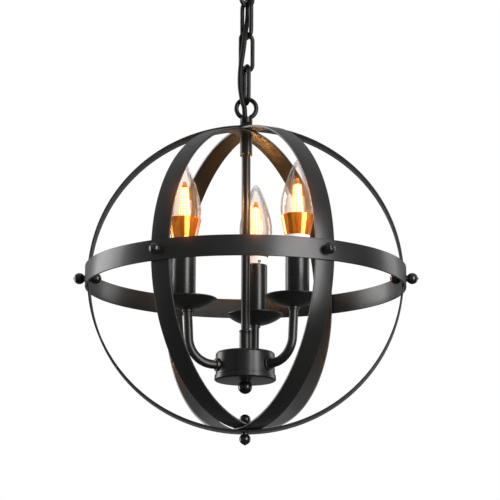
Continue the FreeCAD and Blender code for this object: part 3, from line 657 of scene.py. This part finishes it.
def ballOutline(isScrew):
    # seat at 0 with the ball above it; a screw has a shank below and a small tip on top
    radius, neck, flare, shank = ball["radius"], ball["neck"], ball["flare"], ball["shank"]
    low = -math.acos(neck / radius)
    points, top = [(0, 0)], math.pi / 2
    if isScrew:
        points = [(0, -ball["shankLength"]), (shank, -ball["shankLength"]), (shank, 0)]
        top = math.acos(ball["tip"] / radius)
    points += [(neck + flare, 0), (neck + flare * 0.3, flare * 0.5)]
    for k in range(ball["arcs"] + 1):
        angle = low + (top - low) * k / ball["arcs"]
        points.append((radius * math.cos(angle), ball["rise"] + radius * math.sin(angle)))
    if isScrew:
        start = ball["rise"] + radius - ball["tipSink"]
        length = ball["tipLength"]
        points += [(ball["tip"] - 0.25, start + 0.1), (ball["tipEnd"] + 0.3, start + length - 0.3),
                   (ball["tipEnd"], start + length), (0, start + length)]
    else:
        points[-1] = (0, ball["rise"] + radius)
    return points


def makeBalls():
    screws, nuts = Shape(), Shape()
    screw = spun(ballOutline(True), ball["steps"])
    nut = spun(ballOutline(False), ball["steps"])
    inside = band["reach"] - band["thick"] - ball["nutBack"]
    for k in range(ball["around"]):
        turned = turnTo(360 / ball["around"] * k)
        screws.join(screw.moved(layAlongX, shifted(x=band["equator"]), turned))
        nuts.join(nut.moved(layAlongX, turnTo(180), shifted(x=inside), turned))
    foot = shifted(z=-band["poleHeight"])
    screws.join(screw.moved(upsideDown, foot))
    stack = band["thick"] + 2 * band["nest"] + ball["nutBack"]
    nuts.join(nut.moved(foot, shifted(z=stack)))
    fixedPiece("ballScrews", screws, "ball_screws", "gloss_black")
    fixedPiece("ballNuts", nuts, "ball_nuts", "gloss_black")


makeBalls()
print("ball screws made")


# chain links, bent from wire and butt-welded in the middle of one leg

link = {"wire": 2.3, "bend": 7.7, "leg": 13.0, "sides": 28, "arcs": 28, "straights": 24,
        "azimuths": (38.0, -50.0, 36.0, -71.0), "heights": (-80.05, -116.55, -153.05, -189.55),
        "weld": 3, "swell": 0.13, "swellReach": 1.4, "seam": 0.16, "seamReach": 0.35}


def linkShape():
    bend, leg, arcs = link["bend"], link["leg"], link["arcs"]
    points = []
    for side in (1, -1):
        for k in range(arcs + 1):
            angle = math.pi * k / arcs
            points.append(Vector((side * bend * math.cos(angle), 0,
                                  side * (leg + bend * math.sin(angle)))))
        for k in range(1, link["straights"]):
            points.append(Vector((-side * bend, 0, side * leg * (1 - 2 * k / link["straights"]))))
    shape = swept(carried(points, Vector((0, 1, 0)), closed=True),
                  circle(link["wire"], link["sides"]))
    for point in shape.points:
        if point.x < 0 and abs(point.z) < link["weld"]:
            # upset weld with a fine groove down its middle
            fromAxis = Vector((point.x + bend, point.y, 0))
            swell = (link["swell"] * math.exp(-(point.z / link["swellReach"]) ** 2)
                     - link["seam"] * math.exp(-(point.z / link["seamReach"]) ** 2))
            shift = fromAxis.normalized() * swell
            point.x += shift.x
            point.y += shift.y
    return shape


def makeChain():
    shape = linkShape()
    for number, (azimuth, height) in enumerate(zip(link["azimuths"], link["heights"]), 1):
        piece("chainLink%d" % number, shape.moved(turnTo(azimuth), shifted(z=height)),
              "chain_black", "link_%d" % number, "chain_link_%d" % number)


makeChain()
print("chain made")


# stem between the cage's top and the hub: outer radius, bore, foot and top of each part

stem = {"collar": (6.5, 4.8, 133.26, 158.26), "tube": (4.7, 3.7, -62.0, 144.96),
        "coupler": (6.5, 4.85, -79.5, -55.6), "steps": 64}


def makeStem():
    outer, bore, low, high = stem["collar"]
    # a fine groove runs round the collar, close above its foot
    collar = rounded([(bore, low), (outer, low, 0.7), (outer, low + 1.6, 0.1),
                      (outer - 0.18, low + 1.9, 0.1), (outer, low + 2.2, 0.1), (outer, high, 0.7),
                      (bore, high)], 3)
    fixedPiece("stemCollar", spun(collar, stem["steps"]), "stem_collar")
    outer, bore, low, high = stem["tube"]
    tube = [(bore, low), (outer, low), (outer, high), (bore, high)]
    fixedPiece("stemTube", spun(tube, stem["steps"]), "stem_tube")
    outer, bore, low, high = stem["coupler"]
    # the coupler ends in a bead over a narrow neck
    coupler = rounded([(bore, low), (outer - 0.3, low, 0.2), (outer - 0.3, high - 3.4, 0.4),
                       (outer - 0.9, high - 3.0, 0.2), (outer - 0.9, high - 2.6, 0.2),
                       (outer + 0.1, high - 2.3, 0.7), (outer + 0.1, high - 0.2, 0.9),
                       (bore, high, 0.2)], 4)
    fixedPiece("stemCoupler", spun(coupler, stem["steps"]), "stem_coupler")


makeStem()
print("stem made")


# hub, its cover and the ball under it

hub = {"radius": 31.2, "top": -79.5, "foot": -108.4, "wall": 1.5, "fillet": 3.0, "bore": 4.85,
       "coverTop": -103.8, "coverFoot": -110.0, "cover": 32.6, "lip": 32.2, "floor": 1.4,
       "play": 0.05, "steps": 128, "finial": 7.5, "finialZ": -116.1, "finialArcs": 26,
       "neck": 6.2, "neckFoot": 5.0, "finialStub": 4.8, "stubLength": 7.9}


def makeHub():
    r, wall, bore = hub["radius"], hub["wall"], hub["bore"]
    body = rounded([(bore, hub["top"]), (r, hub["top"], hub["fillet"]), (r, hub["foot"], 0.3),
                    (r - wall, hub["foot"], 0.3), (r - wall, hub["top"] - wall, 2.0),
                    (bore, hub["top"] - wall)], 6)
    fixedPiece("hubBody", spun(body, hub["steps"]), "hub_body")
    cover, top, foot = hub["cover"], hub["coverTop"], hub["coverFoot"]
    plate = rounded([(bore, foot), (cover - 1.6, foot, 0.6), (cover, foot + 1.4, 0.9),
                     (hub["lip"], top, 0.4), (r + hub["play"], top),
                     (r + hub["play"], foot + hub["floor"]), (bore, foot + hub["floor"])], 4)
    fixedPiece("hubCover", spun(plate, hub["steps"]), "hub_cover")
    radius, arcs, stub = hub["finial"], hub["finialArcs"], hub["finialStub"]
    top = math.asin(hub["neckFoot"] / radius)
    outline = []
    for k in range(arcs + 1):
        angle = -math.pi / 2 + (top + math.pi / 2) * k / arcs
        outline.append((radius * math.cos(angle) if k else 0,
                        hub["finialZ"] + radius * math.sin(angle)))
    outline += [(radius * math.cos(top) - 0.1, foot - 0.7), (hub["neck"], foot - 0.25),
                (hub["neck"], foot), (stub, foot), (stub, foot + hub["stubLength"]),
                (0, foot + hub["stubLength"])]
    fixedPiece("hubFinial", spun(outline, 64), "hub_finial", "gloss_black")


makeHub()
print("hub made")


# the three arms, each drawn along +X and turned to its place

arm = {"azimuths": (82.3, 202.3, 322.3), "radius": 4.75, "bore": 3.5, "z": -94.4, "bend": 27.0,
       "lean": 3.0, "inner": 23.0, "top": -31.0, "panReach": 65.0, "candleReach": 69.5,
       "sides": 40, "arcs": 32}
ferrule = {"bore": 4.8, "outer": 7.0, "lip": 5.6, "back": -1.0, "front": 2.3, "throat": 2.0,
           "steps": 56}
pan = {"radius": 31.0, "rim": -26.7, "depth": 12.0, "floor": 8.0, "innerFloor": 8.3, "thick": 1.0,
       "hole": 5.3, "bead": 0.75, "beadDrop": 0.35, "rings": 24, "steps": 128}
pan["bowl"] = (pan["radius"] ** 2 + pan["depth"] ** 2) / (2 * pan["depth"])
pan["centre"] = pan["rim"] - pan["depth"] + pan["bowl"]
pan["seat"] = pan["centre"] - math.sqrt(pan["bowl"] ** 2 - pan["floor"] ** 2)


def riserX(z):
    return arm["panReach"] + (z - pan["seat"]) * math.tan(math.radians(arm["lean"]))


def armLine():
    lean, bend, arcs = math.radians(arm["lean"]), arm["bend"], arm["arcs"]
    endZ = arm["z"] + bend * (1 - math.sin(lean))
    startX = riserX(endZ) - bend * math.cos(lean)
    points = [Vector((arm["inner"], 0, arm["z"])), Vector((hub["radius"], 0, arm["z"]))]
    turn = math.pi / 2 - lean
    for k in range(arcs + 1):
        angle = turn * k / arcs
        points.append(Vector((startX + bend * math.sin(angle), 0,
                              arm["z"] + bend * (1 - math.cos(angle)))))
    points += [Vector((riserX(z), 0, z)) for z in (-55.0, -42.0, arm["top"])]
    return points


def pipeShape(points, outer, inner, sides):
    # an open-ended tube with its bore
    frames = carried(points, Vector((0, 1, 0)))
    shape = Shape()
    rows = len(frames)
    for radius in (outer, inner):
        for centre, across, outward in frames:
            shape.points += [centre + across * a + outward * b for a, b in circle(radius, sides)]
    shift = rows * sides
    for k in range(sides):
        n = (k + 1) % sides
        for row in range(rows - 1):
            a, b = row * sides, (row + 1) * sides
            shape.faces += [[a + k, a + n, b + n, b + k],
                            [shift + a + k, shift + b + k, shift + b + n, shift + a + n]]
        for row in (0, rows - 1):
            a = row * sides
            shape.faces.append([a + k, shift + a + k, shift + a + n, a + n])
    shape.finishOf = [0] * len(shape.faces)
    return shape


def makeArms():
    tube = pipeShape(armLine(), arm["radius"], arm["bore"], arm["sides"])
    # a rounded ferrule where each arm leaves the hub, its back let into the curved wall
    bore, outer, back, front = (ferrule[key] for key in ("bore", "outer", "back", "front"))
    ring = spun(rounded([(bore, back), (outer, back), (outer, front, 0.8),
                         (ferrule["lip"], front, 0.3), (bore, ferrule["throat"])], 4),
                ferrule["steps"])
    ferrules = Shape()
    for number, azimuth in enumerate(arm["azimuths"], 1):
        place = turnTo(azimuth)
        fixedPiece("arm%d" % number, tube.moved(place), "arm_tube_%d" % number)
        ferrules.join(ring.moved(layAlongX, shifted(x=hub["radius"], z=arm["z"]), place))
    fixedPiece("armFerrules", ferrules, "arm_ferrules")


def bowlPoint(radius, r):
    return r, pan["centre"] - math.sqrt(radius ** 2 - r ** 2)


def makePans():
    outer, inner = pan["bowl"], pan["bowl"] - pan["thick"]
    rim, bead, rings = pan["radius"], pan["bead"], pan["rings"]
    under, over = pan["floor"], pan["innerFloor"]
    outline = [(pan["hole"], pan["seat"])]
    outline += [bowlPoint(outer, under + (rim - 1.2 - under) * k / rings)
                for k in range(rings + 1)]
    # the rim is rolled outwards into a thin bead
    for degrees in range(-60, 151, 21):
        angle = math.radians(degrees)
        outline.append((rim - bead + bead * math.cos(angle),
                        pan["rim"] - pan["beadDrop"] + bead * math.sin(angle)))
    outline += [bowlPoint(inner, over + (rim - 1.6 - over) * k / rings)
                for k in range(rings, -1, -1)]
    outline.append((pan["hole"], pan["seat"] + pan["thick"]))
    bowl = spun(outline, pan["steps"])
    nut = spun(rounded([(4.95, -3.0), (6.0, -3.0, 0.5), (6.0, -0.05, 0.15), (5.2, -0.05)], 3), 48)
    nuts = Shape()
    for number, azimuth in enumerate(arm["azimuths"], 1):
        place = turnTo(azimuth)
        fixedPiece("dripPan%d" % number, bowl.moved(shifted(x=arm["panReach"]), place),
                   "drip_pan_%d" % number)
        nuts.join(nut.moved(shifted(x=riserX(pan["seat"] - 1.5), z=pan["seat"]), place))
    fixedPiece("panNuts", nuts, "pan_nuts")


sleeve = {"radius": 12.5, "wall": 1.0, "top": 28.3, "edge": 0.48, "foot": -1, "middle": 5,
          "play": 0.05, "steps": 96, "socket": 9.5, "socketFoot": -18.0, "socketTop": 26.3,
          "shell": 6.7, "shellWall": 0.45, "shellFoot": 9.8, "shellSink": 1.0}


def sleeveFoot(angle, radius, height):
    # the foot follows the bowl of the pan, which stands a little off the sleeve's axis
    if height > 0:
        return height
    off = arm["candleReach"] - arm["panReach"]
    away = math.hypot(off + radius * math.cos(angle), radius * math.sin(angle))
    floor = max(bowlPoint(pan["bowl"] - pan["thick"], away)[1], pan["seat"] + pan["thick"])
    return floor + sleeve["play"]


def makeSleeves():
    r, top, edge, middle = sleeve["radius"], sleeve["top"], sleeve["edge"], sleeve["middle"]
    bore = r - sleeve["wall"]
    rim = rounded([(r, middle), (r, top, edge), (bore, top, edge), (bore, middle)], 4)
    shape = spun([(bore, sleeve["foot"]), (r, sleeve["foot"])] + rim, sleeve["steps"],
                 heightAt=sleeveFoot)
    s, foot, top = sleeve["socket"], sleeve["socketFoot"], sleeve["socketTop"]
    inner, outer = sleeve["shell"], sleeve["shell"] + sleeve["shellWall"]
    floor, seat, shellTop = sleeve["shellFoot"], outer + sleeve["play"], top - sleeve["shellSink"]
    body = spun(rounded([(0, foot), (s, foot, 0.5), (s, top, 0.8), (seat, top, 0.3),
                         (seat, floor), (0, floor)], 3), 64)
    shell = spun([(inner, floor), (outer, floor), (outer, shellTop), (inner, shellTop)], 64,
                 finish=1)
    socket = Shape().join(body).join(shell)
    for number, azimuth in enumerate(arm["azimuths"], 1):
        place = (shifted(x=arm["candleReach"]), turnTo(azimuth))
        fixedPiece("candleSleeve%d" % number, shape.moved(*place), "candle_sleeve_%d" % number,
                   "sleeve_black")
        fixedPiece("lampSocket%d" % number, socket.moved(*place), "lamp_socket_%d" % number,
                   ["socket_plastic", "brass_plate"])


makeArms()
makePans()
makeSleeves()
print("arms, pans and sleeves made")


# candle bulbs; the flame is measured in (radius, height above the gold heat sink)

bulb = {"foot": 28.6, "collarFoot": 12.3, "collarHead": 13.4, "collarTop": 36.6,
        "cap": 5.95, "capFoot": 11.6, "threadPitch": 2.2, "threadDepth": 0.28,
        "sinkFoot": 13.5, "sinkHead": 17.7, "sinkTop": 58.8, "facets": 20, "facetsFrom": 13,
        "glass": 0.8, "glassAtTip": 1.6, "glassSteps": 40,
        "flame": [(16.4, -6.0), (17.2, 0.0), (17.7, 9.0), (16.7, 19.2), (14.2, 29.2),
                  (10.9, 39.7), (6.8, 50.2), (3.9, 55.6), (0.0, 59.9)], "tipSlope": -1.4,
        "ledFoot": 7.1, "ledHead": 4.6, "ledHeight": 33.2, "ledCap": 3.7, "ledCapHeight": 7.0,
        "core": 0.84, "ledSteps": 16, "dotColumns": 11, "dotPitch": 3.1,
        "blackDiscAzimuth": -153.0, "blackDisc": 1.9, "blackDiscDepth": 0.75, "blackDiscRise": 2.6}


def flameLine(inset, tipInset):
    # a smooth side of the flame, through its measured widths
    radii, heights = zip(*bulb["flame"])
    count, tip = len(radii), heights[-1]
    slopes = [(radii[k + 1] - radii[k - 1]) / (heights[k + 1] - heights[k - 1])
              for k in range(1, count - 1)]
    slopes = [slopes[0]] + slopes + [bulb["tipSlope"]]
    line = []
    for step in range(bulb["glassSteps"] + 1):
        h = tip * step / bulb["glassSteps"]
        k = max(i for i in range(count - 1) if heights[i] <= h + 1e-9)
        span = heights[k + 1] - heights[k]
        t = (h - heights[k]) / span
        r = ((2 * t ** 3 - 3 * t ** 2 + 1) * radii[k] + (t ** 3 - 2 * t ** 2 + t) * span * slopes[k]
             + (3 * t ** 2 - 2 * t ** 3) * radii[k + 1] + (t ** 3 - t ** 2) * span * slopes[k + 1])
        line.append((max(r - inset, 0), h - tipInset * (h / tip) ** 2))
    line[-1] = (0, tip - tipInset)
    return [(r, bulb["sinkTop"] + h) for r, h in line]


def threadAt(angle, radius, height):
    # a rolled screw thread on the cap
    if not bulb["capFoot"] + 1.2 < height < bulb["foot"] - 1.0:
        return radius
    turn = height / bulb["threadPitch"] - angle / fullTurn
    return radius - bulb["threadDepth"] + bulb["threadDepth"] * math.cos(fullTurn * turn)


def facetAt(angle, radius, height):
    # flats round the heat sink, so that each catches the light by itself
    side = fullTurn / bulb["facets"]
    within = (angle % side) - side / 2
    flat = math.cos(side / 2) / math.cos(within)
    return radius * (flat if radius > bulb["facetsFrom"] else 1)


def bulbShape():
    # collar in finish 0, screw cap in 1, heat sink in 2, and a small black disc set into the collar
    # in 3
    foot, top, sink = bulb["foot"], bulb["collarTop"], bulb["sinkTop"]
    shape = Shape()
    shape.join(spun(rounded([(0, foot), (bulb["collarFoot"], foot, 0.7),
                             (bulb["collarHead"], top, 0.2), (0, top)], 4), 96))
    # a small black disc set into the collar, low on one side
    blackDisc = spun([(0, 0), (bulb["blackDisc"], 0), (bulb["blackDisc"], bulb["blackDiscDepth"]),
                 (0, bulb["blackDiscDepth"])], 20, 3)
    shape.join(blackDisc.moved(layAlongX, shifted(x=bulb["collarFoot"] - 0.3, z=foot + bulb["blackDiscRise"]),
                          turnTo(bulb["blackDiscAzimuth"])))
    cap, low = bulb["cap"], bulb["capFoot"]
    outline = [(0, low), (cap - 1.9, low), (cap - 1.4, low + 0.6)]
    outline += [(cap, low + 1.2 + (foot - low - 2.2) * k / 60) for k in range(61)]
    outline += [(cap - 0.3, foot + 0.2), (0, foot + 0.2)]
    shape.join(spun(outline, 64, 1, threadAt))
    shape.join(spun([(0, low - 1.5), (2.0, low - 1.4), (3.0, low - 0.6), (3.0, low), (0, low)],
                    32, 1))
    # the gold heat sink: a drawn foot, flats all round, and a small rim under the glass
    a, b = bulb["sinkFoot"], bulb["sinkHead"]
    outline = [(a - 0.35, top), (a, top + 0.35), (a + 0.02, top + 1.0)]
    outline += [(a + (b - a) * k / 8, top + 1.2 + (sink - 1.4 - top - 1.2) * k / 8)
                for k in range(9)]
    outline += [(b + 0.02, sink - 1.0), (b, sink - 0.35), (b - 0.3, sink), (0, sink), (0, top)]
    shape.join(spun(outline, bulb["facets"] * 4, 2, facetAt))
    return shape


def columnShape():
    # the light guide with its glowing core, and the small cap that closes it
    sink, h, steps = bulb["sinkTop"], bulb["ledHeight"], bulb["ledSteps"]
    low, high = bulb["ledFoot"], bulb["ledHead"]
    shape = Shape()
    sides = [(low + (high - low) * k / steps, sink + h * k / steps) for k in range(steps + 1)]
    shape.join(spun([(0, sink + 0.1)] + sides + [(0, sink + h)], 64))
    core = [((low + (high - low) * k / steps) * bulb["core"], sink + 0.4 + (h - 1.4) * k / steps)
            for k in range(steps + 1)]
    shape.join(spun([(0, sink + 0.4)] + core + [(0, sink + h - 1.0)], 48, 1))
    cap, foot, top = bulb["ledCap"], sink + h, sink + h + bulb["ledCapHeight"]
    shape.join(spun(rounded([(0, foot), (cap, foot), (cap, foot + 1.2, 0.5),
                             (cap - 0.9, foot + 1.9, 0.6), (1.5, top, 0.9), (0, top)], 5), 48, 2))
    return shape


def wrapDots(column, azimuth):
    # rows of dots round the light guide, laid out by angle and height
    axis = turnTo(azimuth) @ Vector((arm["candleReach"], 0, 0)) * mm
    mesh = column.data
    wrap = mesh.uv_layers.new(name="wrap")
    for face in mesh.polygons:
        middle = math.atan2(face.center.y - axis.y, face.center.x - axis.x)
        for corner in face.loop_indices:
            point = mesh.vertices[mesh.loops[corner].vertex_index].co
            angle = math.atan2(point.y - axis.y, point.x - axis.x)
            angle += fullTurn * round((middle - angle) / fullTurn)
            wrap.data[corner].uv = (angle * bulb["dotColumns"] / fullTurn,
                                    (point.z / mm - orbZ) / bulb["dotPitch"])


def makeBulbs():
    body, column = bulbShape(), columnShape()
    outer, inner = flameLine(0, 0), flameLine(bulb["glass"], bulb["glassAtTip"])
    glass = spun(outer + inner[::-1], 96)
    for number, azimuth in enumerate(arm["azimuths"], 1):
        place = (shifted(x=arm["candleReach"]), turnTo(azimuth), atOrb)
        name = "bulb_%d" % number
        piece("bulb%dBody" % number, body.moved(*place),
              ["white_plastic", "nickel_cap", "gold_anodised", "socket_plastic"], name,
              name + "_base", name + "_heat_sink", sharp=12)
        lit = piece("bulb%dColumn" % number, column.moved(*place),
                    ["led_phosphor", "led_core", "led_cap"], name, name + "_led_column")
        wrapDots(lit, azimuth)
        piece("bulb%dGlass" % number, glass.moved(*place), "clear_glass", name, name + "_glass",
              sharp=60)


makeBulbs()
print("bulbs made")


# studio

floorPaint = {"z": -3.6, "size": 60.0, "light": (0.8, 0.8, 0.8), "dark": (0.76, 0.76, 0.76),
              "cloud": 0.6, "roughness": 0.9, "glow": 0.62}


def makeFloor():
    half = floorPaint["size"] / 2
    mesh = bpy.data.meshes.new("floor")
    mesh.from_pydata([(x, y, floorPaint["z"]) for x, y in
                      ((-half, -half), (half, -half), (half, half), (-half, half))],
                     [], [(0, 1, 2, 3)])
    floor = linked("floor", mesh)
    paint = Finish("paleFloor")
    cloudy = paint.blendOf(floorPaint["light"], floorPaint["dark"],
                           paint.noise(floorPaint["cloud"], 2))
    mesh.materials.append(paint.surface(Base_Color=cloudy, Roughness=floorPaint["roughness"],
                                        Emission_Color=(1.0, 1.0, 1.0),
                                        Emission_Strength=floorPaint["glow"]))
    floor.visible_glossy = False


# brightness by height, from straight down at -1 to straight up at 1
roomShades = ((-1.0, 0.03), (-0.5, 0.05), (-0.22, 0.24), (0.3, 0.2), (0.75, 0.5), (1.0, 0.7))


def makeRoom():
    # the object reflects a room that is dark below, pale all round, with a bright ceiling,
    # and the camera sees plain white
    world = bpy.data.worlds.new("studio")
    bpy.context.scene.world = world
    world.use_nodes = True
    room = Tree(world.node_tree)
    place = room.add("ShaderNodeTexCoord", out="Generated")
    height = room.add("ShaderNodeSeparateXYZ", {}, {0: place}, out="Z")
    upward = room.add("ShaderNodeMapRange", {}, {"Value": height, "From Min": -1.0}, out="Result")
    stops = [(level / 2 + 0.5, shade) for level, shade in roomShades]
    shades = room.add("ShaderNodeValToRGB", {"stops": stops}, {0: upward})
    reflected = room.add("ShaderNodeBackground", {}, {"Color": shades})
    seen = room.add("ShaderNodeBackground", {}, {"Color": (1, 1, 1)})
    toCamera = room.add("ShaderNodeLightPath", out="Is Camera Ray")
    either = room.add("ShaderNodeMixShader", {}, {0: toCamera, 1: reflected, 2: seen})
    room.add("ShaderNodeOutputWorld", {}, {"Surface": either})


softboxes = {
    "keyBox": {"azimuth": 38.0, "elevation": 3, "away": 2.6, "size": (1.5, 2.66), "power": 111.0},
    "rimBox": {"azimuth": -112.0, "elevation": 5, "away": 2.6, "size": (1.6, 2.4), "power": 60.0},
    "rightRimBox": {"azimuth": 125, "elevation": 5, "away": 2.8, "size": (1.0, 2.2), "power": 16},
}


def makeSoftbox(name, azimuth, elevation, away, size, power):
    data = bpy.data.lights.new(name, "AREA")
    data.shape = "RECTANGLE"
    data.size, data.size_y = size
    data.energy = power
    light = linked(name, data)
    outward = direction(azimuth, elevation)
    light.location = orb + outward * away
    light.rotation_euler = outward.to_track_quat("Z", "Y").to_euler()
    light.visible_camera = False


bulbGlow = {"power": 0.8, "colour": (1.0, 0.45, 0.12), "radius": 10, "up": 0.55,
            "spared": ("bulb1Glass", "bulb2Glass", "bulb3Glass", "cageRing1")}


def makeBulbGlow():
    # the bulbs light everything but their own glass and the outermost band
    spared = bpy.data.collections.new("sparedFromBulbs")
    for name in bulbGlow["spared"]:
        spared.objects.link(bpy.data.objects[name])
    for held in spared.collection_objects:
        held.light_linking.link_state = "EXCLUDE"
    for number in range(1, len(arm["azimuths"]) + 1):
        data = bpy.data.lights.new("bulbGlow%d" % number, "POINT")
        data.energy = bulbGlow["power"]
        data.color = bulbGlow["colour"]
        data.shadow_soft_size = bulbGlow["radius"] * mm
        glow = linked("bulbGlow%d" % number, data)
        glow.visible_camera = False
        glow.light_linking.receiver_collection = spared
        low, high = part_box("bulb_%d_glass" % number)
        middle, up = mid((low, high)), bulbGlow["up"]
        glow.location = Vector((middle.x, middle.y, low.z * (1 - up) + high.z * up))
        glow.parent = frame["bodies"]["bulb_%d" % number]


bloom = {"Threshold": 1.3, "Strength": 0.8, "Size": 0.06, "Saturation": 1.0,
         "Tint": (1.0, 0.58, 0.14)}


def addBloom():
    # the lens spreads the light of the bulbs a little
    scene = bpy.context.scene
    scene.use_nodes = True
    lens = Tree(scene.node_tree)
    taken = lens.add("CompositorNodeRLayers", out="Image")
    spread = lens.add("CompositorNodeGlare", {"glare_type": "BLOOM", "quality": "HIGH"},
                      {"Image": taken, **bloom}, out="Image")
    lens.add("CompositorNodeComposite", {}, {"Image": spread})


makeFloor()
makeRoom()
for name, settings in softboxes.items():
    makeSoftbox(name, **settings)
makeBulbGlow()
bpy.context.scene.view_settings.view_transform = "Standard"
bpy.context.scene.view_settings.look = "None"
addBloom()
print("studio lit")
